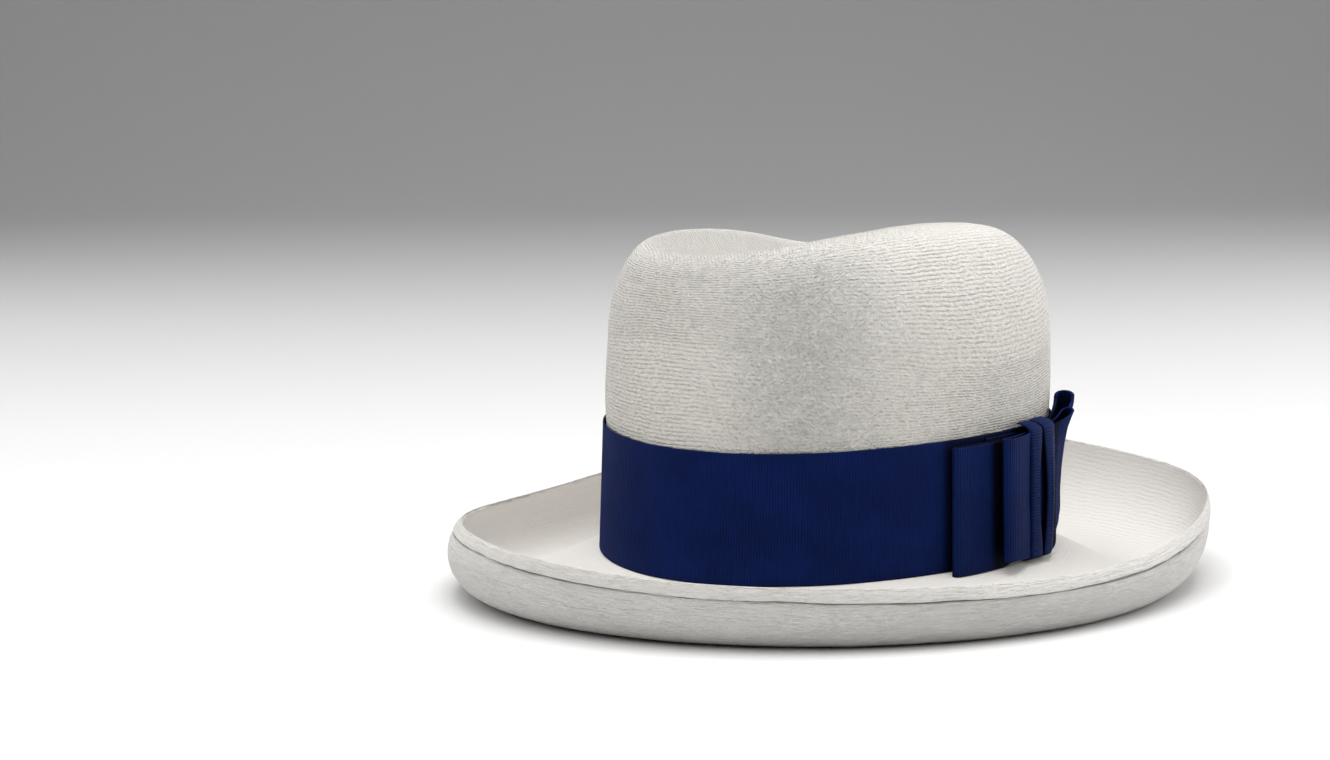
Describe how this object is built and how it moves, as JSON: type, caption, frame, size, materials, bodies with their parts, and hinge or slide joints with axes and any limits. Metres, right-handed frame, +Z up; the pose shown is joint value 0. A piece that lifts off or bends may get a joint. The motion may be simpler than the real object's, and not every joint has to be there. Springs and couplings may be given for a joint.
{
  "type": "straw homburg hat",
  "caption": "Woven straw dress hat with a lengthwise crown dent, a curled brim, a wide ribbed ribbon band with a pleated side bow, and a leather sweatband.",
  "frame": {"origin": "bottom centre of the hat's bounding box, in the plane that the brim rests on", "axes": "+Z up through the crown; front of the hat towards -Y; wearer's left, with the ribbon bow, towards +X"},
  "size_m": [0.2974, 0.3366, 0.15],
  "materials": {
    "straw": "fine bleached toquilla straw weave, matt with a soft natural gloss",
    "straw_edge": "back-woven straw edge, pressed smooth",
    "band_ribbon": "navy grosgrain ribbon with upright ribs",
    "bow_ribbon": "navy grosgrain ribbon, folded and pressed",
    "sweatband": "tan roan leather, lightly glazed",
    "sweatband_back": "rough split leather",
    "reed": "round split-cane reed",
    "reed_tape": "woven cotton tape",
    "thread": "waxed cotton thread",
    "satin": "navy satin ribbon"
  },
  "bodies": {
    "root": {"straw_body": "straw", "brim_edge_welt": "straw_edge", "hatband": "band_ribbon", "bow_backing": "bow_ribbon", "bow_front_outer_loop": "bow_ribbon", "bow_front_inner_loop": "bow_ribbon", "bow_rear_outer_loop": "bow_ribbon", "bow_rear_inner_loop": "bow_ribbon", "bow_keeper": "bow_ribbon", "sweatband_leather": "sweatband", "sweatband_reed": "reed", "sweatband_reed_tape": "reed_tape", "sweatband_thread": "thread", "sweatband_joint_patch": "sweatband_back", "sweatband_bow_ribbon": "satin", "sweatband_bow_knot": "satin"}
  },
  "joints": []
}
